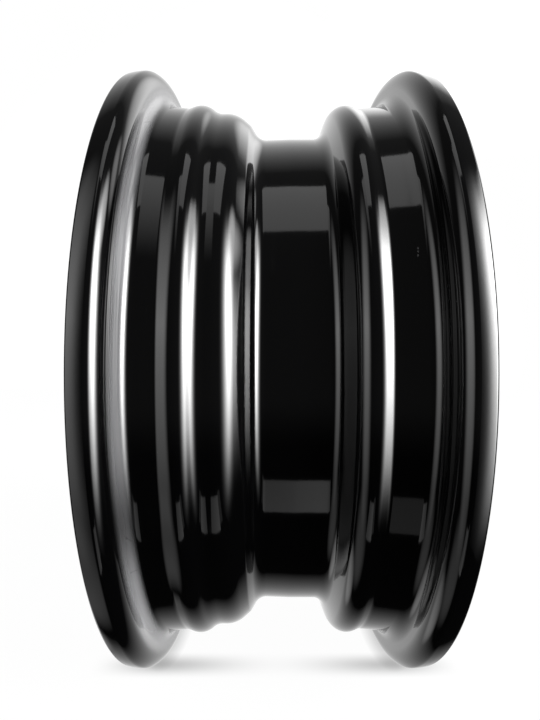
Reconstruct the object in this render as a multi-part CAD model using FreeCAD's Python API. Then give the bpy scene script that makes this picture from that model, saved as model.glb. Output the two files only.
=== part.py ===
import FreeCAD, Part
import math
import os
from FreeCAD import Vector

# A bare steel car wheel: a roll-formed drop centre rim, a pressed disc and the welds between them.
# Millimetres. The axle is the Y axis with outboard at +Y, and the rim's middle plane is Y = 0.

# Rim contour, as seen from the tyre's side
RIM_WIDTH = 127.0              # between the two flange faces
BEAD_SEAT_DIAMETER = 329.4     # where the bead seat's line meets the flange face
FLANGE_HEIGHT = 17.3
RIM_SHEET = 2.5
HEEL_RADIUS = 6.5
SEAT_TAPER = 5.0               # degrees
TOE_RADIUS = 5.0

# Flange lip: the curl off the flange face, the knee at its crown, and the gently drooping top
LIP_CURL_RADIUS = 9.25
LIP_KNEE_RISE = 31.0           # degrees, between the curl and the knee
LIP_KNEE_RADIUS = 4.0
LIP_TOP_FALL = 1.5             # degrees, just past the knee
LIP_TOP_RADIUS = 30.5
LIP_DROOP = 12.2               # degrees, at the edge
LIP_STRAIGHT = 0.2             # between the bends and at the edge

# Inboard hump, ledge, shoulder and flank
INBOARD_HUMP_AT = 42.5         # from the middle plane
INBOARD_HUMP_HEIGHT = 0.35     # crest above the bead seat radius
INBOARD_HUMP_RADIUS = 9.5
INBOARD_HUMP_RISE = 18.0       # degrees
INBOARD_HUMP_FALL = 37.5       # degrees
VALLEY_RADIUS = 9.0
LEDGE_DROP = 3.95              # below the bead seat radius
LEDGE_SLOPE = 1.5              # degrees
SHOULDER_FROM_HUMP = 14.2      # along the axle, between the crests
SHOULDER_RADIUS = 15.2
FLANK_SLOPE = 39.0             # degrees
FLANK_LENGTH = 4.7
FLANK_BEND_RADIUS = 4.0

# Well, outboard wall and outboard hump
WELL_DEPTH = 17.5              # below the bead seat radius
INBOARD_WALL_SLOPE = 58.5      # degrees
INBOARD_WELL_FILLET = 7.4
WELL_DRAFT = 2.2               # degrees, on the inboard half of the floor
WELL_DRAFT_END = 7.0           # where the floor turns level
DRAFT_BLEND_RADIUS = 60.0
OUTBOARD_WELL_FILLET = 6.5
OUTBOARD_WALL_SLOPE = 70.0     # degrees
OUTBOARD_HUMP_AT = 38.2        # from the middle plane
OUTBOARD_HUMP_HEIGHT = 0.2
OUTBOARD_HUMP_RADIUS = 8.8
OUTBOARD_HUMP_FALL = 21.0      # degrees

# Valve hole, square to the outboard wall of the well
VALVE_HOLE_DIAMETER = 11.3
VALVE_AZIMUTH = 180.0          # degrees about the axle, from +X towards +Z
VALVE_HOLE_SHARE = 0.62        # of the way up the wall

# Disc
DISC_SHEET = 3.5
WHEEL_OFFSET = 38.0            # from the middle plane to the hub face
DISC_BEND_RADIUS = 10.0
CONE_LEAN = 66.0               # degrees from the axle
CROWN_RISE = 11.5              # of the crown above the hub's front
CROWN_DIAMETER = 176.0
CROWN_RADIUS = 14.0
CROWN_FALL = 135.0             # degrees from the axle
HUB_FILLET = 7.0
CENTRE_BORE_DIAMETER = 57.1
COLLAR_FILLET = 3.0
COLLAR_HEIGHT = 8.0            # of the centre bore's collar above the hub's front

# Bolt seats
BOLT_COUNT = 4
BOLT_CIRCLE = 100.0
BOLT_HOLE_DIAMETER = 13.0
BOLT_SEAT_ANGLE = 60.0         # degrees, across the cone
BOLT_LAND = 1.5                # of plain hole under the cone
BOSS_HEIGHT = 3.2
BOSS_TOP_DIAMETER = 25.0
BOSS_BASE_DIAMETER = 31.0
BOSS_EDGE_RADIUS = 1.2
BOSS_FOOT_RADIUS = 3.0
RELIEF_DEPTH = 2.2             # hollow behind each boss
RELIEF_FLOOR_DIAMETER = 18.5
RELIEF_MOUTH_DIAMETER = 23.5

# Vent windows
WINDOW_COUNT = 12
WINDOW_INSET = 26.7            # of the windows' middle from the disc's seat in the well
WINDOW_LENGTH = 34.0           # round the wheel
WINDOW_WIDTH = 20.0            # towards the axle

# Welds
WELD_COUNT = 8
WELD_SPAN = 21.0               # degrees
WELD_RADIUS = 3.0
WELD_SINK = 0.7                # of the bead's centre from the corner that it fills
WELD_CLEARANCE = 0.3           # of the beads from the bend in the well's floor

# Radii that the pieces share, and where the disc's flange ends inboard with the welds on the level floor
SEAT_RADIUS = BEAD_SEAT_DIAMETER / 2
WELL_RADIUS = SEAT_RADIUS - WELL_DEPTH
DISC_SEAT_RADIUS = WELL_RADIUS - RIM_SHEET
LEVEL_FLOOR_START = WELL_DRAFT_END + DRAFT_BLEND_RADIUS * math.tan(math.radians(WELL_DRAFT) / 2)
DISC_FLANGE_END = LEVEL_FLOOR_START + WELD_CLEARANCE + WELD_RADIUS + WELD_SINK

AXLE = Vector(0, 1, 0)
CENTRE = Vector(0, 0, 0)


def leg(axial, radius, heading):
    """A straight run of a section: a point on it and its heading in degrees from +Y towards +radius."""
    return axial, radius, math.radians(heading)


def tangent_leg(centre_axial, centre_radius, arc_radius, heading):
    """The run that touches a crest's circle where the path has this heading."""
    turn = math.radians(heading)
    touch = (centre_axial - arc_radius * math.sin(turn), centre_radius + arc_radius * math.cos(turn))
    return leg(*touch, heading)


def shifted(run, gap):
    """The run moved to the right of its heading."""
    axial, radius, turn = run
    return axial + gap * math.sin(turn), radius - gap * math.cos(turn), turn


def crossing(first, second):
    """Where two runs meet, as (axial, radius)."""
    lean = math.sin(second[2] - first[2])
    away = (second[0] - first[0]) * math.sin(second[2]) - (second[1] - first[1]) * math.cos(second[2])
    return first[0] + away / lean * math.cos(first[2]), first[1] + away / lean * math.sin(first[2])


def in_section(axial, radius):
    return Vector(0, axial, radius)


def along(run, axial, radius, distance):
    return axial + distance * math.cos(run[2]), radius + distance * math.sin(run[2])


def bent_edges(start, runs, bends, end):
    """Straight edges along the runs, joined by tangent arcs, from the start point to the end point."""
    edges = []
    here = start
    for before, after, bend in zip(runs, runs[1:], bends):
        corner = crossing(before, after)
        turn = after[2] - before[2]
        reach = bend * math.tan(abs(turn) / 2)
        into = along(before, *corner, -reach)
        out = along(after, *corner, reach)
        middle_run = (0, 0, (before[2] + after[2]) / 2 + math.copysign(math.pi / 2, turn))
        middle = along(middle_run, *corner, bend / math.cos(turn / 2) - bend)
        edges.append(Part.LineSegment(in_section(*here), in_section(*into)).toShape())
        edges.append(Part.Arc(in_section(*into), in_section(*middle), in_section(*out)).toShape())
        here = out
    edges.append(Part.LineSegment(in_section(*here), in_section(*end)).toShape())
    return edges


def sheet_section(runs, bends, start, end, sheet, rounded):
    """The section of a bent sheet whose face follows the runs, with the sheet to the right of the path."""
    back_runs = [shifted(run, sheet) for run in runs]
    turns = [after[2] - before[2] for before, after in zip(runs, runs[1:])]
    back_bends = [bend + math.copysign(sheet, turn) for bend, turn in zip(bends, turns)]
    back_start = shifted((*start, runs[0][2]), sheet)[:2]
    back_end = shifted((*end, runs[-1][2]), sheet)[:2]
    front = bent_edges(start, runs, bends, end)
    back = bent_edges(back_start, back_runs, back_bends, back_end)
    caps = []
    for run, here, there, way in ((runs[0], start, back_start, -1), (runs[-1], end, back_end, 1)):
        if rounded:
            middle = ((here[0] + there[0]) / 2, (here[1] + there[1]) / 2)
            tip = along(run, *middle, way * sheet / 2)
            caps.append(Part.Arc(in_section(*here), in_section(*tip), in_section(*there)).toShape())
        else:
            caps.append(Part.LineSegment(in_section(*here), in_section(*there)).toShape())
    return Part.Face(Part.Wire(Part.__sortEdges__(front + back + caps)))


def turned(section):
    return section.revolve(CENTRE, AXLE, 360)


def around(shape, count, start=0.0):
    """Copies of a shape spaced evenly round the axle."""
    return [shape.rotated(CENTRE, AXLE, -(start + 360.0 * place / count)) for place in range(count)]


def crest_circle(axial, height, arc_radius):
    """The circle of a crest whose top stands this high above the bead seat radius."""
    return axial, SEAT_RADIUS + height - arc_radius, arc_radius


def lip_runs(side):
    """The flange face and lip of one side as runs, listed from the face outwards."""
    face = leg(side * RIM_WIDTH / 2, SEAT_RADIUS, side * 90)
    rise = math.radians(LIP_KNEE_RISE)
    curl_reach = LIP_CURL_RADIUS * math.tan((math.pi / 2 - rise) / 2)
    knee_out = LIP_KNEE_RADIUS * math.sin(rise) + (curl_reach + LIP_STRAIGHT) * math.cos(rise)
    knee = crest_circle(face[0] + side * knee_out, FLANGE_HEIGHT, LIP_KNEE_RADIUS)
    curl = tangent_leg(*knee, side * LIP_KNEE_RISE)
    top = tangent_leg(*knee, -side * LIP_TOP_FALL)
    top_reach = LIP_TOP_RADIUS * math.tan(math.radians(LIP_DROOP - LIP_TOP_FALL) / 2)
    bend = along(top, *top[:2], side * (LIP_STRAIGHT + top_reach))
    droop = leg(*bend, -side * LIP_DROOP)
    edge = along(droop, *bend, side * (top_reach + LIP_STRAIGHT))
    return face, curl, top, droop, edge


def outboard_hump():
    return crest_circle(OUTBOARD_HUMP_AT, OUTBOARD_HUMP_HEIGHT, OUTBOARD_HUMP_RADIUS)


def well_runs():
    """The level floor of the well and its outboard wall, which the disc and the valve hole follow."""
    return leg(WELL_DRAFT_END, WELL_RADIUS, 0), tangent_leg(*outboard_hump(), OUTBOARD_WALL_SLOPE)


def make_valve_cutter():
    floor, wall = well_runs()
    foot = crossing(floor, wall)
    height = math.dist(foot, wall[:2])
    normal = Vector(0, -math.sin(wall[2]), math.cos(wall[2]))
    reach = normal * (4 * RIM_SHEET)
    middle = in_section(*along(wall, *foot, VALVE_HOLE_SHARE * height))
    cutter = Part.makeCylinder(VALVE_HOLE_DIAMETER / 2, 2 * reach.Length, middle - reach, normal)
    return cutter.rotated(CENTRE, AXLE, 90 - VALVE_AZIMUTH)


def make_rim():
    in_face, in_curl, in_top, in_droop, in_edge = lip_runs(-1)
    out_face, out_curl, out_top, out_droop, out_edge = lip_runs(1)
    in_hump = crest_circle(-INBOARD_HUMP_AT, INBOARD_HUMP_HEIGHT, INBOARD_HUMP_RADIUS)
    shoulder = crest_circle(SHOULDER_FROM_HUMP - INBOARD_HUMP_AT, -LEDGE_DROP, SHOULDER_RADIUS)
    flank = tangent_leg(*shoulder, -FLANK_SLOPE)
    wall_top = along(flank, *flank[:2], FLANK_LENGTH)
    floor, out_wall = well_runs()
    runs_and_bends = [
        (in_droop, LIP_TOP_RADIUS),
        (in_top, LIP_KNEE_RADIUS),
        (in_curl, LIP_CURL_RADIUS),
        (in_face, HEEL_RADIUS),
        (leg(in_face[0], SEAT_RADIUS, -SEAT_TAPER), TOE_RADIUS),
        (tangent_leg(*in_hump, INBOARD_HUMP_RISE), INBOARD_HUMP_RADIUS),
        (tangent_leg(*in_hump, -INBOARD_HUMP_FALL), VALLEY_RADIUS),
        (tangent_leg(*shoulder, LEDGE_SLOPE), SHOULDER_RADIUS),
        (flank, FLANK_BEND_RADIUS),
        (leg(*wall_top, -INBOARD_WALL_SLOPE), INBOARD_WELL_FILLET),
        (leg(WELL_DRAFT_END, WELL_RADIUS, WELL_DRAFT), DRAFT_BLEND_RADIUS),
        (floor, OUTBOARD_WELL_FILLET),
        (out_wall, OUTBOARD_HUMP_RADIUS),
        (tangent_leg(*outboard_hump(), -OUTBOARD_HUMP_FALL), TOE_RADIUS),
        (leg(out_face[0], SEAT_RADIUS, SEAT_TAPER), HEEL_RADIUS),
        (out_face, LIP_CURL_RADIUS),
        (out_curl, LIP_KNEE_RADIUS),
        (out_top, LIP_TOP_RADIUS),
        (out_droop, None),
    ]
    runs = [run for run, bend in runs_and_bends]
    bends = [bend for run, bend in runs_and_bends[:-1]]
    rim = turned(sheet_section(runs, bends, in_edge, out_edge, RIM_SHEET, rounded=True))
    return rim.cut(make_valve_cutter())


def make_disc_blank():
    hub_front = WHEEL_OFFSET + DISC_SHEET
    crown_centre = hub_front + CROWN_RISE - CROWN_RADIUS
    collar_radius = CENTRE_BORE_DIAMETER / 2 + DISC_SHEET
    runs_and_bends = [
        (leg(DISC_FLANGE_END, DISC_SEAT_RADIUS, 0), DISC_BEND_RADIUS),
        (tangent_leg(crown_centre, CROWN_DIAMETER / 2, CROWN_RADIUS, -CONE_LEAN), CROWN_RADIUS),
        (tangent_leg(crown_centre, CROWN_DIAMETER / 2, CROWN_RADIUS, -CROWN_FALL), HUB_FILLET),
        (leg(hub_front, collar_radius, -90), COLLAR_FILLET),
        (leg(hub_front, collar_radius, 0), None),
    ]
    runs = [run for run, bend in runs_and_bends]
    bends = [bend for run, bend in runs_and_bends[:-1]]
    start = (DISC_FLANGE_END, DISC_SEAT_RADIUS)
    end = (hub_front + COLLAR_HEIGHT, collar_radius)
    return turned(sheet_section(runs, bends, start, end, DISC_SHEET, rounded=False))


def make_bolt_boss():
    """A pressed-up boss with a round edge, whose foot sweeps out just into the hub's front."""
    front = WHEEL_OFFSET + DISC_SHEET
    sink = 0.05 * BOSS_FOOT_RADIUS
    spread = (BOSS_BASE_DIAMETER - BOSS_TOP_DIAMETER) / 2
    lean = 180 - math.degrees(math.atan2(spread, BOSS_HEIGHT))
    rim = BOSS_BASE_DIAMETER / 2
    runs = [
        leg(front + BOSS_HEIGHT, 0, 90),
        leg(front, rim, lean),
        leg(front - sink, rim, 90),
    ]
    top = (front + BOSS_HEIGHT, 0)
    edge = (front - sink, rim + BOSS_FOOT_RADIUS)
    root = (WHEEL_OFFSET + DISC_SHEET / 2, edge[1])
    outline = bent_edges(top, runs, [BOSS_EDGE_RADIUS, BOSS_FOOT_RADIUS], edge)
    for here, there in ((edge, root), (root, (root[0], 0)), ((root[0], 0), top)):
        outline.append(Part.LineSegment(in_section(*here), in_section(*there)).toShape())
    boss = Part.Face(Part.Wire(outline)).revolve(CENTRE, AXLE, 360)
    return boss.translated(Vector(0, 0, BOLT_CIRCLE / 2))


def make_bolt_cutter():
    """The hollow behind a boss, the plain hole and the cone that the bolt's head sits in."""
    back = Vector(0, WHEEL_OFFSET, BOLT_CIRCLE / 2)
    relief = Part.makeCone(RELIEF_MOUTH_DIAMETER / 2, RELIEF_FLOOR_DIAMETER / 2, RELIEF_DEPTH, back, AXLE)
    whole = DISC_SHEET + BOSS_HEIGHT
    hole = Part.makeCylinder(BOLT_HOLE_DIAMETER / 2, whole, back, AXLE)
    cone_depth = whole - RELIEF_DEPTH - BOLT_LAND
    mouth = BOLT_HOLE_DIAMETER / 2 + cone_depth * math.tan(math.radians(BOLT_SEAT_ANGLE / 2))
    cone = Part.makeCone(BOLT_HOLE_DIAMETER / 2, mouth, cone_depth, back + AXLE * (whole - cone_depth), AXLE)
    return relief.fuse([hole, cone])


def make_window_cutter():
    """A slot with round ends, cut along the axle."""
    half = (WINDOW_LENGTH - WINDOW_WIDTH) / 2
    ends = WINDOW_WIDTH / 2
    middle = DISC_SEAT_RADIUS - WINDOW_INSET
    low = middle - ends
    high = middle + ends
    edges = [
        Part.LineSegment(Vector(-half, 0, low), Vector(half, 0, low)).toShape(),
        Part.Arc(Vector(half, 0, low), Vector(half + ends, 0, middle), Vector(half, 0, high)).toShape(),
        Part.LineSegment(Vector(half, 0, high), Vector(-half, 0, high)).toShape(),
        Part.Arc(Vector(-half, 0, high), Vector(-half - ends, 0, middle), Vector(-half, 0, low)).toShape(),
    ]
    slot = Part.Face(Part.Wire(edges))
    return slot.extrude(AXLE * (WHEEL_OFFSET + DISC_SHEET + CROWN_RISE + DISC_SHEET))


def make_disc():
    disc = make_disc_blank().fuse(around(make_bolt_boss(), BOLT_COUNT, 180.0 / BOLT_COUNT)).removeSplitter()
    cutters = around(make_bolt_cutter(), BOLT_COUNT, 180.0 / BOLT_COUNT)
    cutters += around(make_window_cutter(), WINDOW_COUNT)
    return disc.cut(cutters)


def make_weld_beads(rim, disc):
    """Round-ended beads in the corner between the disc's flange and the well, trimmed to both."""
    spine = in_section(DISC_FLANGE_END - WELD_SINK, DISC_SEAT_RADIUS - WELD_SINK)
    ring = Part.Wire(Part.Circle(spine, Vector(1, 0, 0), WELD_RADIUS).toShape())
    bead = Part.Face(ring).revolve(CENTRE, AXLE, WELD_SPAN)
    ball = Part.makeSphere(WELD_RADIUS, spine)
    bead = bead.fuse([ball, ball.rotated(CENTRE, AXLE, WELD_SPAN)]).removeSplitter()
    bead = bead.cut([rim, disc])
    return Part.makeCompound([solid for copy in around(bead, WELD_COUNT) for solid in copy.Solids])


rim = make_rim()
disc = make_disc()
nodes = {
    "rim": rim,
    "disc": disc,
    "weld_beads": make_weld_beads(rim, disc),
}

os.makedirs("parts", exist_ok=True)
for name, shape in nodes.items():
    shape.exportStep(f"parts/{name}.step")
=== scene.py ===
import math

import bmesh
import bpy
from mathutils import Matrix, Vector


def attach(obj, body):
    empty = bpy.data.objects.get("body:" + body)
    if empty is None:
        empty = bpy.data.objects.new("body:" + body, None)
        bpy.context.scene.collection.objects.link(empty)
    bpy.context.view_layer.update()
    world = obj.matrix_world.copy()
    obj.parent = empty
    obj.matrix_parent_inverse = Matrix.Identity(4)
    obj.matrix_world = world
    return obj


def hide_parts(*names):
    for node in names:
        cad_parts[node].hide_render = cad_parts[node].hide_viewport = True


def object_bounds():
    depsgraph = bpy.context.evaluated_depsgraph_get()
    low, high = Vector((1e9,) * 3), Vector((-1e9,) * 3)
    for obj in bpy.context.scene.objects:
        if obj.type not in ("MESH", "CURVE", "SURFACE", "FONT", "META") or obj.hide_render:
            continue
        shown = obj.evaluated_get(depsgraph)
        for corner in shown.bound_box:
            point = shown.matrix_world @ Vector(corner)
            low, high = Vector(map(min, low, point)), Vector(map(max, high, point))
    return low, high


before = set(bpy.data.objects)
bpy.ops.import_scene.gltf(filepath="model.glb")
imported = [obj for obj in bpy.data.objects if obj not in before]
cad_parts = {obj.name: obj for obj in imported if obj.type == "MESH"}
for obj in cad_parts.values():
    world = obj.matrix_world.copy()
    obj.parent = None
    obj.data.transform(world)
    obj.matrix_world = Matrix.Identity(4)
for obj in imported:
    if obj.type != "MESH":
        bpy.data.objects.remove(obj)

# A bare steel car wheel in gloss black paint, standing on its two lips on a white floor.
# Metres, apart from the rim's section. The axle is the Y axis with outboard at +Y, and the camera looks along -X.

CAD_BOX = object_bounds()
MM = 0.001

# Rim contour in millimetres and degrees, as seen from the tyre's side
RIM_WIDTH = 127.0
SEAT_RADIUS = 164.7
FLANGE_HEIGHT = 17.3
RIM_SHEET = 2.5
HEEL_RADIUS = 6.5
SEAT_TAPER = 5.0
TOE_RADIUS = 5.0
LIP_CURL_RADIUS = 9.25
LIP_KNEE_RISE = 31.0
LIP_KNEE_RADIUS = 4.0
LIP_TOP_FALL = 1.5
LIP_TOP_RADIUS = 30.5
LIP_DROOP = 12.2
LIP_STRAIGHT = 0.2
INBOARD_HUMP_AT = 42.5
INBOARD_HUMP_HEIGHT = 0.35
INBOARD_HUMP_RADIUS = 9.5
INBOARD_HUMP_RISE = 18.0
INBOARD_HUMP_FALL = 37.5
VALLEY_RADIUS = 9.0
LEDGE_DROP = 3.95
LEDGE_SLOPE = 1.5
SHOULDER_FROM_HUMP = 14.2
SHOULDER_RADIUS = 15.2
FLANK_SLOPE = 39.0
FLANK_LENGTH = 4.7
FLANK_BEND_RADIUS = 4.0
WELL_DEPTH = 17.5
INBOARD_WALL_SLOPE = 58.5
INBOARD_WELL_FILLET = 7.4
WELL_DRAFT = 2.2
WELL_DRAFT_END = 7.0
DRAFT_BLEND_RADIUS = 60.0
OUTBOARD_WELL_FILLET = 6.5
OUTBOARD_WALL_SLOPE = 70.0
OUTBOARD_HUMP_AT = 38.2
OUTBOARD_HUMP_HEIGHT = 0.2
OUTBOARD_HUMP_RADIUS = 8.8
OUTBOARD_HUMP_FALL = 21.0
VALVE_HOLE_RADIUS = 5.65
VALVE_HOLE_SHARE = 0.62        # of the way up the outboard wall of the well

# Fineness of the turned mesh
RIM_SEGMENTS = 256
FRONT_STEP = 5.0               # degrees of bend between section points
BACK_STEP = 9.0
LONGEST_RUN = 3.5              # millimetres between section points on a straight run
EDGE_STEPS = 9                 # round the sheet's edges
HOLE_SEGMENTS = 48
CUTTER_LENGTH = 20.0           # of the valve hole's tool
SHARP_ANGLE = 40.0
MERGE_GAP = 1e-6

# Gloss black paint: its noise scales per metre, with the height or roughness that each adds
PAINT_BLACK = (0.0004, 0.0004, 0.00045, 1.0)
PAINT_IOR = 1.5
PAINT_ROUGHNESS = 0.055
PEEL_SCALE, PEEL_HEIGHT = 420.0, 0.012
WAVE_SCALE, WAVE_HEIGHT = 28.0, 0.10
HAZE_SCALE, HAZE_ROUGHNESS = 60.0, 0.02
BUMP_DISTANCE = 0.0004

# The band of thin, dull paint behind the inboard flange, whose grey is partly a painted sheen: where it begins and
# ends along the axle and at its outer radius, its streaks, and its share of grey with the painted sheen's changes by
# height: middle, reach and amount
# Painted sheen: this grey stands for the thin, dull paint and for the strip lamp's sheen on it
DULL_PAINT_AND_SHEEN_GREY = (0.115, 0.115, 0.118, 1.0)
DULL_ROUGHNESS = 0.06
BAND_STARTS = (-0.0643, -0.0635)
BAND_ENDS = (-0.0622, -0.0592)
BAND_TOP = (0.1705, 0.1772)
DULL_AND_SHEEN_SHARE = 0.54
# Painted sheen: the band's grey is made lighter or darker by height, where the lamp's sheen falls
PAINTED_SHEEN_BY_HEIGHT = ((0.048, 0.030, 0.30), (-0.060, 0.034, -0.35), (-0.122, 0.060, 0.46))
STREAK_SCALE = 900.0           # across the streaks, per metre
STREAK_TURN = 1.5              # along the streaks, per radian
STREAK_LEAST, STREAK_MORE = 0.8, 0.4

# Ends of short flaws in the paint, hairlines behind the inboard flange and specks on the outboard seat, with the
# gaps from the line between the ends where a flaw begins to fade and is gone
HAIRLINES = (((0.1448, -0.0629, -0.0852), (0.1420, -0.0611, -0.0852)),
             ((0.1548, -0.0631, -0.0661), (0.1504, -0.0614, -0.0700)))
HAIRLINE_EDGE = (0.0001, 0.0005)
HAIRLINE_DEPTH = 0.12
# A hairline keeps only part of the band's dull paint and of the grey of its painted sheen
HAIRLINE_DULL_AND_SHEEN = 0.7            # of the band's dull colour is left in a hairline
SPECKS = (((0.1562, 0.0553, 0.0500), (0.1563, 0.0553, 0.0496)),
          ((0.1567, 0.0552, 0.0486), (0.1567, 0.0552, 0.0482)),
          ((0.1572, 0.0550, 0.0470), (0.1572, 0.0550, 0.0465)))
SPECK_EDGE = (0.0001, 0.0004)

# The floor's white, how far and how much the nearby lips darken it, and the soft shade that falls in front of them:
# its middle and reach towards the camera, where it fades outside and between the lips, and its depth
FLOOR_HALF = 3.0
FLOOR_WHITE = 0.98
FLOOR_MATT = (0.02, 0.02, 0.02, 1.0)
CONTACT_REACH = 0.008
CONTACT_SHADE = 0.5
CONTACT_SAMPLES = 16
SHADE_AT = 0.0464
SHADE_REACH = 0.0146
SHADE_OUTSIDE = (0.065, 0.115)
SHADE_BETWEEN = (0.0, 0.085)
SHADE_LEAST, SHADE_MORE = 0.05, 0.47

# The studio round the wheel: a white backdrop that ends this far behind, with less of it outboard and below, a faint
# front that fades below, and soft bright patches: azimuth from the camera, elevation, reach and radiance
BACKDROP_EDGE = 0.2
BACKDROP_GAIN = 1.5
BACKDROP_LESS_OUTBOARD = 0.2
BACKDROP_LESS_BELOW = 0.13
FRONT_FADE = (-0.6, -0.2)
FRONT_LEVEL = 0.07
FRONT_MORE_OUTBOARD = 0.03
DARKEST = 0.005
WALL_PATCHES = ((150.0, 38.0, 20.0, 1.4), (-128.0, -47.0, 14.0, 0.9), (76.0, 41.0, 14.0, 7.0),
                (110.0, 40.0, 12.0, 2.0), (-78.0, -57.0, 25.0, 0.45))

# How lamps fade over their own width and height
STRIP_FALL_ACROSS = (36.8, 27.3)
STRIP_FALL_UP = (45.2, 27.6)
TENT_EDGE = 0.41
OUTBOARD_GAIN = 0.6

# Camera, from the photograph's outline
FRAME_HEIGHT_PX = 720.0
FOCAL_PX = 517.7
SENSOR = 36.0
CAMERA_PLACE = (0.3640, -0.0041, 0.0049)
NEAREST = 0.01


class Runs:
    """A bent sheet's section as straight runs (axial, radius, heading) joined by arcs."""

    def __init__(self):
        self.runs = []
        self.bends = []

    def add(self, axial, radius, turn, bend=None):
        self.runs.append((axial, radius, turn))
        self.bends.append(bend)

    def moved(self, gap):
        """The runs moved to the right of their headings, with their bends to suit."""
        other = Runs()
        for place, (axial, radius, turn) in enumerate(self.runs):
            other.runs.append((axial + gap * math.sin(turn), radius - gap * math.cos(turn), turn))
            bend = self.bends[place]
            if bend is not None:
                bend += math.copysign(gap, self.runs[place + 1][2] - turn)
            other.bends.append(bend)
        return other

    def points(self, start, end, step):
        """Section points from start to end, close together on the arcs."""
        found = [start]
        for place in range(len(self.runs) - 1):
            before, after = self.runs[place], self.runs[place + 1]
            bend, turn = self.bends[place], after[2] - before[2]
            reach = bend * math.tan(abs(turn) / 2)
            first = along(before, crossing(before, after), -reach)
            straight(found, first)
            side = math.copysign(1, turn)
            centre = along((0, 0, before[2] + side * math.pi / 2), first, bend)
            count = max(2, math.ceil(abs(math.degrees(turn)) / step))
            for tick in range(1, count + 1):
                heading = before[2] + turn * tick / count
                found.append(along((0, 0, heading - side * math.pi / 2), centre, bend))
        straight(found, end)
        return found


def leg(axial, radius, heading):
    return axial, radius, math.radians(heading)


def tangent(axial, radius, arc, heading):
    """The run that touches a crest's circle where the path has this heading."""
    turn = math.radians(heading)
    return axial - arc * math.sin(turn), radius + arc * math.cos(turn), turn


def along(run, place, distance):
    return place[0] + distance * math.cos(run[2]), place[1] + distance * math.sin(run[2])


def crossing(first, second):
    lean = math.sin(second[2] - first[2])
    away = (second[0] - first[0]) * math.sin(second[2]) - (second[1] - first[1]) * math.cos(second[2])
    return along(first, first, away / lean)


def straight(found, target):
    """Adds evenly spaced points up to the target."""
    start = found[-1]
    count = max(1, math.ceil(math.dist(start, target) / LONGEST_RUN))
    for tick in range(1, count + 1):
        part = tick / count
        found.append((start[0] + (target[0] - start[0]) * part, start[1] + (target[1] - start[1]) * part))


def sheet_loop(runs, start, end, sheet):
    """The closed section of a bent sheet with round ends."""
    ends = []
    for run, place in ((runs.runs[0], start), (runs.runs[-1], end)):
        ends.append((place[0] + sheet * math.sin(run[2]), place[1] - sheet * math.cos(run[2])))
    front = runs.points(start, end, FRONT_STEP)
    back = runs.moved(sheet).points(ends[0], ends[1], BACK_STEP)
    tail = round_end(end, ends[1], runs.runs[-1][2])
    head = round_end(ends[0], start, runs.runs[0][2] + math.pi)
    return front + tail + back[::-1] + head


def round_end(first, second, heading):
    """Points of the half circle between two edges of a sheet, without the edges themselves."""
    middle = ((first[0] + second[0]) / 2, (first[1] + second[1]) / 2)
    half = math.dist(first, second) / 2
    turns = [heading + math.pi / 2 - math.pi * tick / EDGE_STEPS for tick in range(1, EDGE_STEPS)]
    return [along((0, 0, turn), middle, half) for turn in turns]


def crest(axial, height, arc):
    """The circle of a crest whose top stands this high above the bead seat radius."""
    return axial, SEAT_RADIUS + height - arc, arc


def lip_runs(side):
    """The flange face and lip of one side, listed from the face outwards, and the sheet's edge."""
    face = leg(side * RIM_WIDTH / 2, SEAT_RADIUS, side * 90)
    rise = math.radians(LIP_KNEE_RISE)
    curl_reach = LIP_CURL_RADIUS * math.tan((math.pi / 2 - rise) / 2)
    knee_out = LIP_KNEE_RADIUS * math.sin(rise) + (curl_reach + LIP_STRAIGHT) * math.cos(rise)
    knee = crest(face[0] + side * knee_out, FLANGE_HEIGHT, LIP_KNEE_RADIUS)
    curl = tangent(*knee, side * LIP_KNEE_RISE)
    top = tangent(*knee, -side * LIP_TOP_FALL)
    top_reach = LIP_TOP_RADIUS * math.tan(math.radians(LIP_DROOP - LIP_TOP_FALL) / 2)
    bend = along(top, top, side * (LIP_STRAIGHT + top_reach))
    droop = leg(*bend, -side * LIP_DROOP)
    edge = along(droop, bend, side * (top_reach + LIP_STRAIGHT))
    return face, curl, top, droop, edge


def well_runs():
    """The level floor of the well, its outboard wall and the circle of the hump above the wall."""
    hump = crest(OUTBOARD_HUMP_AT, OUTBOARD_HUMP_HEIGHT, OUTBOARD_HUMP_RADIUS)
    floor = leg(WELL_DRAFT_END, SEAT_RADIUS - WELL_DEPTH, 0)
    return floor, tangent(*hump, OUTBOARD_WALL_SLOPE), hump


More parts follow.
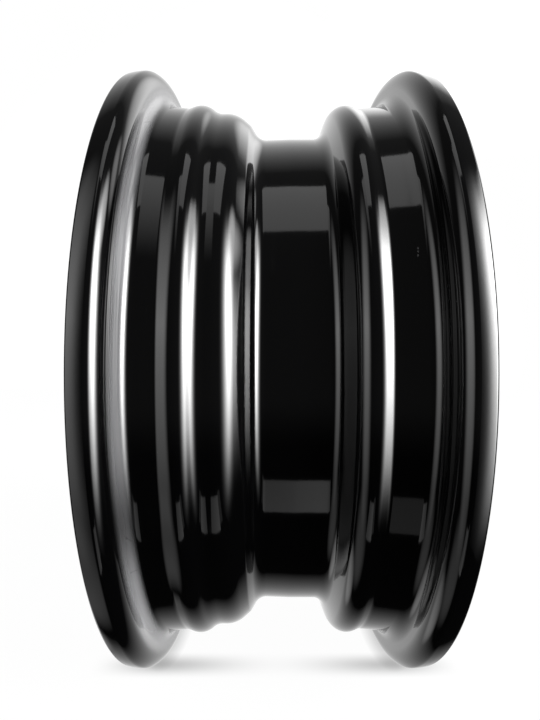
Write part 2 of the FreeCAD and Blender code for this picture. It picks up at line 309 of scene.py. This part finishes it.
def rim_runs():
    """The rim's runs from the inboard edge to the outboard edge, and the two edges."""
    hump = crest(-INBOARD_HUMP_AT, INBOARD_HUMP_HEIGHT, INBOARD_HUMP_RADIUS)
    shoulder = crest(SHOULDER_FROM_HUMP - INBOARD_HUMP_AT, -LEDGE_DROP, SHOULDER_RADIUS)
    flank = tangent(*shoulder, -FLANK_SLOPE)
    wall_top = along(flank, flank, FLANK_LENGTH)
    floor, out_wall, out_hump = well_runs()
    face, curl, top, droop, start = lip_runs(-1)
    runs = Runs()
    runs.add(*droop, LIP_TOP_RADIUS)
    runs.add(*top, LIP_KNEE_RADIUS)
    runs.add(*curl, LIP_CURL_RADIUS)
    runs.add(*face, HEEL_RADIUS)
    runs.add(*leg(face[0], SEAT_RADIUS, -SEAT_TAPER), TOE_RADIUS)
    runs.add(*tangent(*hump, INBOARD_HUMP_RISE), INBOARD_HUMP_RADIUS)
    runs.add(*tangent(*hump, -INBOARD_HUMP_FALL), VALLEY_RADIUS)
    runs.add(*tangent(*shoulder, LEDGE_SLOPE), SHOULDER_RADIUS)
    runs.add(*flank, FLANK_BEND_RADIUS)
    runs.add(*leg(*wall_top, -INBOARD_WALL_SLOPE), INBOARD_WELL_FILLET)
    runs.add(*leg(*floor[:2], WELL_DRAFT), DRAFT_BLEND_RADIUS)
    runs.add(*floor, OUTBOARD_WELL_FILLET)
    runs.add(*out_wall, OUTBOARD_HUMP_RADIUS)
    face, curl, top, droop, end = lip_runs(1)
    runs.add(*tangent(*out_hump, -OUTBOARD_HUMP_FALL), TOE_RADIUS)
    runs.add(*leg(face[0], SEAT_RADIUS, SEAT_TAPER), HEEL_RADIUS)
    runs.add(*face, LIP_CURL_RADIUS)
    runs.add(*curl, LIP_KNEE_RADIUS)
    runs.add(*top, LIP_TOP_RADIUS)
    runs.add(*droop)
    return runs, start, end


class Value:
    """A node's socket whose operators add Math nodes. One without a socket only starts a tree."""

    def __init__(self, tree, socket=None):
        self.tree = tree
        self.socket = socket

    def node(self, kind, settings=None, **inputs):
        """A new node with its settings, then its sockets' values or links, by name or as i0, i1 and so on."""
        made = self.tree.nodes.new(kind)
        for name, value in (settings or {}).items():
            setattr(made, name, value)
        for name, value in inputs.items():
            socket = made.inputs[int(name[1:]) if name[1:].isdigit() else name.replace("_", " ")]
            if isinstance(value, Value):
                self.tree.links.new(value.socket, socket)
            else:
                socket.default_value = value
        return made

    def make(self, kind, output=0, settings=None, **inputs):
        """One output of a new node."""
        return Value(self.tree, self.node(kind, settings, **inputs).outputs[output])

    def math(self, operation, *others):
        inputs = {f"i{place}": value for place, value in enumerate((self, *others))}
        return self.make("ShaderNodeMath", 0, {"operation": operation}, **inputs)

    def vector(self, operation, output, **inputs):
        return self.make("ShaderNodeVectorMath", output, {"operation": operation}, i0=self, **inputs)

    def parts(self):
        """The X, Y and Z of a vector."""
        return [Value(self.tree, part) for part in self.node("ShaderNodeSeparateXYZ", Vector=self).outputs]

    def __add__(self, other):
        return self.math("ADD", other)

    __radd__ = __add__

    def __mul__(self, other):
        return self.math("MULTIPLY", other)

    __rmul__ = __mul__

    def __sub__(self, other):
        return self.math("SUBTRACT", other)

    def __rsub__(self, other):
        return (self * -1.0) + other

    def smooth(self, low, high):
        """0 below low, 1 above high, and a smooth rise between them."""
        return self.make("ShaderNodeMapRange", 0, {"interpolation_type": "SMOOTHSTEP"}, Value=self,
                         From_Min=low, From_Max=high, To_Min=0.0, To_Max=1.0)

    def near(self, middle, reach):
        """1 at the middle, and a smooth fall to 0 at this reach on both sides of it."""
        return 1.0 - (self - middle).math("ABSOLUTE").smooth(0.0, reach)

    def noise(self, scale, detail):
        return self.make("ShaderNodeTexNoise", 0, Vector=self, Scale=scale, Detail=detail)

    def gap_to_line(self, first, second):
        """How far this place is from the straight line between two points."""
        first, run = Vector(first), Vector(second) - Vector(first)
        way = self.vector("SUBTRACT", 0, i1=first)
        share = way.vector("DOT_PRODUCT", "Value", i1=run / run.length_squared)
        share = share.math("MAXIMUM", 0.0).math("MINIMUM", 1.0)
        foot = self.make("ShaderNodeVectorMath", 0, {"operation": "SCALE"}, i0=run, i3=share)
        return way.vector("DISTANCE", "Value", i1=foot)


def turning_tree():
    """A Geometry Nodes tree that turns a closed section about the axle, and its two settings' names."""
    tree = bpy.data.node_groups.new("turned_about_axle", "GeometryNodeTree")
    face = tree.interface
    face.new_socket("Section", in_out="INPUT", socket_type="NodeSocketGeometry")
    segments = face.new_socket("Segments", in_out="INPUT", socket_type="NodeSocketInt")
    finish = face.new_socket("Finish", in_out="INPUT", socket_type="NodeSocketMaterial")
    face.new_socket("Turned", in_out="OUTPUT", socket_type="NodeSocketGeometry")
    start = Value(tree)
    entry = start.node("NodeGroupInput").outputs
    section, around, paint = (Value(tree, entry[name]) for name in ("Section", "Segments", "Finish"))
    size = start.make("GeometryNodeAttributeDomainSize", "Point Count", Geometry=section)
    rows = size + 1.0
    grid = start.make("GeometryNodeMeshGrid", "Mesh", Vertices_X=around + 1.0, Vertices_Y=rows)
    index = start.make("GeometryNodeInputIndex")
    row = index.math("MODULO", rows).math("MODULO", size)
    angle = index.math("DIVIDE", rows).math("FLOOR").math("DIVIDE", around) * (2 * math.pi)
    place = start.make("GeometryNodeInputPosition")
    sample = start.make("GeometryNodeSampleIndex", 0, {"data_type": "FLOAT_VECTOR", "domain": "POINT"},
                        Geometry=section, Value=place, Index=row)
    turned = start.make("ShaderNodeVectorRotate", 0, {"rotation_type": "Y_AXIS"}, Vector=sample, Angle=angle)
    placed = start.make("GeometryNodeSetPosition", Geometry=grid, Position=turned)
    joined = start.make("GeometryNodeMergeByDistance", Geometry=placed, Distance=MERGE_GAP)
    smooth = start.make("GeometryNodeSetShadeSmooth", Geometry=joined)
    real = start.make("GeometryNodeRealizeInstances", Geometry=smooth)
    painted = start.make("GeometryNodeSetMaterial", Geometry=real, Material=paint)
    start.node("NodeGroupOutput", Turned=painted)
    return tree, segments.identifier, finish.identifier


def turned_mesh(name, loop, segments, finish):
    """A plain mesh of a closed section, in millimetres, turned about the axle by the tree."""
    tree, segments_id, finish_id = turning_tree()
    section = bpy.data.meshes.new(name + "_section")
    section.from_pydata([(0, axial * MM, radius * MM) for axial, radius in loop], [], [])
    maker = bpy.data.objects.new(name + "_maker", section)
    bpy.context.scene.collection.objects.link(maker)
    modifier = maker.modifiers.new("turned", "NODES")
    modifier.node_group = tree
    modifier[segments_id] = segments
    modifier[finish_id] = finish
    evaluated = maker.evaluated_get(bpy.context.evaluated_depsgraph_get())
    mesh = bpy.data.meshes.new_from_object(evaluated)
    bpy.data.objects.remove(maker)
    outward(mesh)
    return mesh


def outward(mesh):
    """Turns a closed mesh's faces outwards."""
    work = bmesh.new()
    work.from_mesh(mesh)
    bmesh.ops.recalc_face_normals(work, faces=work.faces)
    work.to_mesh(mesh)
    work.free()


def cut_valve_hole(mesh):
    """The rim's mesh with the valve hole cut square to the well's outboard wall, on the -X side."""
    floor, wall, hump = well_runs()
    foot = crossing(floor, wall)
    axial, radius = along(wall, foot, VALVE_HOLE_SHARE * math.dist(foot, wall[:2]))
    work = bmesh.new()
    bmesh.ops.create_cone(work, cap_ends=True, segments=HOLE_SEGMENTS, radius1=VALVE_HOLE_RADIUS * MM,
                          radius2=VALVE_HOLE_RADIUS * MM, depth=CUTTER_LENGTH * MM)
    normal = Vector((-math.cos(wall[2]), -math.sin(wall[2]), 0))
    turn = normal.to_track_quat("Z", "Y").to_matrix().to_4x4()
    work.transform(Matrix.Translation((-radius * MM, axial * MM, 0)) @ turn)
    tool_mesh = bpy.data.meshes.new("valve_tool")
    work.to_mesh(tool_mesh)
    work.free()
    tool = bpy.data.objects.new("valve_tool", tool_mesh)
    blank = bpy.data.objects.new("rim_blank", mesh)
    for made in (tool, blank):
        bpy.context.scene.collection.objects.link(made)
    cut = blank.modifiers.new("hole", "BOOLEAN")
    cut.operation = "DIFFERENCE"
    cut.solver = "EXACT"
    cut.object = tool
    holed = bpy.data.meshes.new_from_object(blank.evaluated_get(bpy.context.evaluated_depsgraph_get()))
    for made in (tool, blank):
        bpy.data.objects.remove(made)
    holed.set_sharp_from_angle(angle=math.radians(SHARP_ANGLE))
    return holed


def make_rim(paint):
    """The rolled rim, which stands for the CAD node of the same shape."""
    runs, start, end = rim_runs()
    mesh = turned_mesh("rim", sheet_loop(runs, start, end, RIM_SHEET), RIM_SEGMENTS, paint)
    rim = bpy.data.objects.new("rolled_rim", cut_valve_hole(mesh))
    bpy.context.scene.collection.objects.link(rim)
    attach(rim, "root")
    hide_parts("rim")


def new_material(name):
    """An empty material and the start of its tree."""
    material = bpy.data.materials.new(name)
    material.use_nodes = True
    material.node_tree.nodes.clear()
    return material, Value(material.node_tree)


def gloss_black_paint():
    """Gloss black stove enamel on rolled steel, with a faint orange peel, long waves from the rolls and a dull,
    streaky band of thin paint in the corner behind the inboard flange, whose grey is partly a painted sheen, lighter
    or darker by height."""
    material, start = new_material("gloss_black_paint")
    place = start.make("ShaderNodeTexCoord", "Object")
    peel = place.noise(PEEL_SCALE, detail=2.0)
    waves = place.noise(WAVE_SCALE, detail=2.0)
    haze = place.noise(HAZE_SCALE, detail=4.0)
    x, axial, z = place.parts()
    radius = (x * x + z * z).math("SQRT")
    turn = z.math("ARCTAN2", x)
    ring = start.make("ShaderNodeCombineXYZ", X=axial * STREAK_SCALE, Y=radius * STREAK_SCALE, Z=turn * STREAK_TURN)
    streaks = ring.noise(1.0, detail=3.0)
    # The band's mask sets the dull paint's roughness and the grey of its painted sheen
    dull_and_sheen = axial.smooth(*BAND_STARTS) * (1.0 - axial.smooth(*BAND_ENDS)) * (1.0 - radius.smooth(*BAND_TOP))
    dull_and_sheen = dull_and_sheen * (streaks * STREAK_MORE + STREAK_LEAST)
    whole = 1.0
    for first, second in HAIRLINES:
        whole = place.gap_to_line(first, second).smooth(*HAIRLINE_EDGE) * whole
    dull_and_sheen = dull_and_sheen * (whole * (1.0 - HAIRLINE_DULL_AND_SHEEN) + HAIRLINE_DULL_AND_SHEEN)
    # Painted sheen: the band's grey is lighter or darker by height
    share = DULL_AND_SHEEN_SHARE
    for middle, reach, change in PAINTED_SHEEN_BY_HEIGHT:
        share = z.near(middle, reach) * change + share
    share = dull_and_sheen * share
    for first, second in SPECKS:
        speck = 1.0 - place.gap_to_line(first, second).smooth(*SPECK_EDGE)
        share = share.math("MAXIMUM", speck * DULL_AND_SHEEN_SHARE)
    colour = start.make("ShaderNodeMix", 2, {"data_type": "RGBA"}, i0=share, i6=PAINT_BLACK, i7=DULL_PAINT_AND_SHEEN_GREY)
    height = peel * PEEL_HEIGHT + waves * WAVE_HEIGHT + whole * HAIRLINE_DEPTH
    bump = start.make("ShaderNodeBump", Strength=1.0, Distance=BUMP_DISTANCE, Height=height)
    roughness = haze * HAZE_ROUGHNESS + PAINT_ROUGHNESS + dull_and_sheen * DULL_ROUGHNESS
    shader = start.make("ShaderNodeBsdfPrincipled", Base_Color=colour, Roughness=roughness, Normal=bump, IOR=PAINT_IOR)
    start.node("ShaderNodeOutputMaterial", Surface=shader)
    return material


def make_camera():
    data = bpy.data.cameras.new("camera")
    data.sensor_fit = "AUTO"
    data.sensor_width = SENSOR
    data.lens = SENSOR * FOCAL_PX / FRAME_HEIGHT_PX
    data.clip_start = NEAREST
    camera = bpy.data.objects.new("camera", data)
    camera.location = CAMERA_PLACE
    camera.rotation_euler = (math.radians(90), 0, math.radians(90))
    bpy.context.scene.collection.objects.link(camera)
    bpy.context.scene.camera = camera


def white_floor():
    """A white floor with a soft shade close to the lips and in front of them, which the paint doesn't mirror."""
    material, start = new_material("white_floor")
    open_air = start.make("ShaderNodeAmbientOcclusion", "AO", {"samples": CONTACT_SAMPLES}, Distance=CONTACT_REACH)
    forward, outboard = start.make("ShaderNodeTexCoord", "Object").parts()[:2]
    aside = outboard.math("ABSOLUTE")
    shade = forward.near(SHADE_AT, SHADE_REACH) * (1.0 - aside.smooth(*SHADE_OUTSIDE))
    shade = shade * (aside.smooth(*SHADE_BETWEEN) * SHADE_MORE + SHADE_LEAST)
    level = (open_air * CONTACT_SHADE + (FLOOR_WHITE - CONTACT_SHADE)) * (1.0 - shade)
    glow = start.make("ShaderNodeEmission", Color=level)
    matt = start.make("ShaderNodeBsdfDiffuse", Color=FLOOR_MATT)
    seen = start.make("ShaderNodeAddShader", i0=glow, i1=matt)
    clear = start.make("ShaderNodeBsdfTransparent")
    mirrored = start.make("ShaderNodeLightPath", "Is Glossy Ray")
    mix = start.make("ShaderNodeMixShader", Fac=mirrored, i1=seen, i2=clear)
    start.node("ShaderNodeOutputMaterial", Surface=mix)
    mesh = bpy.data.meshes.new("floor")
    corners = ((-1, -1), (1, -1), (1, 1), (-1, 1))
    mesh.from_pydata([(x * FLOOR_HALF, y * FLOOR_HALF, CAD_BOX[0][2]) for x, y in corners], [], [(0, 1, 2, 3)])
    mesh.materials.append(material)
    floor = bpy.data.objects.new("floor", mesh)
    bpy.context.scene.collection.objects.link(floor)


def studio_world():
    """White behind the wheel, dark on the camera's side, and white to the camera itself."""
    world = bpy.data.worlds.new("studio")
    world.use_nodes = True
    world.node_tree.nodes.clear()
    start = Value(world.node_tree)
    way = start.make("ShaderNodeTexCoord", "Generated")
    front, outboard, up = way.parts()
    inner = front * -1.0 - outboard.math("MAXIMUM", 0.0) * BACKDROP_LESS_OUTBOARD
    inner = inner + up.math("MINIMUM", 0.0) * BACKDROP_LESS_BELOW
    backdrop = ((inner - BACKDROP_EDGE) * BACKDROP_GAIN).math("MAXIMUM", 0.0).math("MINIMUM", 1.0)
    studio = backdrop + up.smooth(*FRONT_FADE) * (outboard * FRONT_MORE_OUTBOARD + FRONT_LEVEL) + DARKEST
    for azimuth, elevation, wide, radiance in WALL_PATCHES:
        turn, tilt = math.radians(azimuth), math.radians(elevation)
        centre = (math.cos(tilt) * math.cos(turn), math.cos(tilt) * math.sin(turn), math.sin(tilt))
        nearness = way.vector("DOT_PRODUCT", "Value", i1=centre)
        studio = studio + nearness.smooth(math.cos(math.radians(wide)), 1.0) * radiance
    level = start.make("ShaderNodeLightPath", "Is Camera Ray").math("MAXIMUM", studio)
    shine = start.make("ShaderNodeBackground", Color=level)
    start.node("ShaderNodeOutputWorld", Surface=shine)
    bpy.context.scene.world = world


def softbox(name, place, aim, width, height, radiance, profile=None):
    """A rectangular lamp that faces the aim point, with its brightness across and up it from the profile."""
    data = bpy.data.lights.new(name, "AREA")
    data.shape = "RECTANGLE"
    data.size = width
    data.size_y = height
    data.energy = radiance * math.pi * width * height
    if profile:
        data.use_nodes = True
        tree = data.node_tree
        spot = Value(tree).make("ShaderNodeNewGeometry", "Parametric").parts()
        level = profile(spot[0] - 0.5, spot[1] - 0.5)
        tree.links.new(level.socket, tree.nodes["Emission"].inputs["Color"])
    lamp = bpy.data.objects.new(name, data)
    lamp.location = place
    lamp.rotation_euler = (Vector(aim) - Vector(place)).to_track_quat("-Z", "Y").to_euler()
    bpy.context.scene.collection.objects.link(lamp)


def hot_middle(across, up):
    """A bright core that falls away like a bell curve, at its own rate on each of its four sides."""
    fall = 0.0
    for offset, (steep_after, steep_before) in ((across, STRIP_FALL_ACROSS), (up, STRIP_FALL_UP)):
        after, before = offset.math("MAXIMUM", 0.0), offset.math("MINIMUM", 0.0)
        fall = after * after * steep_after + before * before * steep_before + fall
    return (fall * -1.0).math("EXPONENT")


def soft_tent(across, up):
    """Soft at both sides, and falling away evenly from the middle to the upper and lower ends."""
    height = 1.0 - up.math("ABSOLUTE") * 2.0
    return (0.5 - across.math("ABSOLUTE")).smooth(0.0, TENT_EDGE) * height * height


def brighter_outboard(across, up):
    """Brighter towards the outboard side."""
    return up * OUTBOARD_GAIN + 1.0


def soft_front(across, up):
    """Bright at the far end, fading to nothing at the camera's end."""
    return (across * -1.0).smooth(-0.5, 0.5)


paint = gloss_black_paint()
make_rim(paint)
for name in ("disc", "weld_beads"):
    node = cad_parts[name]
    node.data.materials.clear()
    node.data.materials.append(paint)

make_camera()
white_floor()
studio_world()
softbox("right_strip", place=(2.300, 3.373, 1.478), aim=(0.15, 0.0, 1.478), width=5.2, height=14.2,
        radiance=46.8, profile=hot_middle)
softbox("left_panel", place=(0.818, -0.905, 0.308), aim=(0.15, 0.0, 0.308), width=1.132, height=4.94,
        radiance=3.15, profile=soft_tent)
softbox("overhead_panel", place=(0.285, 0.04, 0.75), aim=(0.285, 0.04, 0.0), width=0.36, height=0.22,
        radiance=1.12)
softbox("overhead_left", place=(0.60, -0.127, 0.75), aim=(0.60, -0.127, 0.0), width=0.69, height=0.117,
        radiance=1.0, profile=soft_front)
softbox("low_card", place=(0.3815, 0.0025, -0.45), aim=(0.3815, 0.0025, 0.0), width=0.173, height=0.155,
        radiance=0.62, profile=brighter_outboard)
softbox("low_right_card", place=(0.405, 0.1075, -0.45), aim=(0.405, 0.1075, 0.0), width=0.17, height=0.055,
        radiance=0.23)

bpy.context.scene.view_settings.view_transform = "Standard"
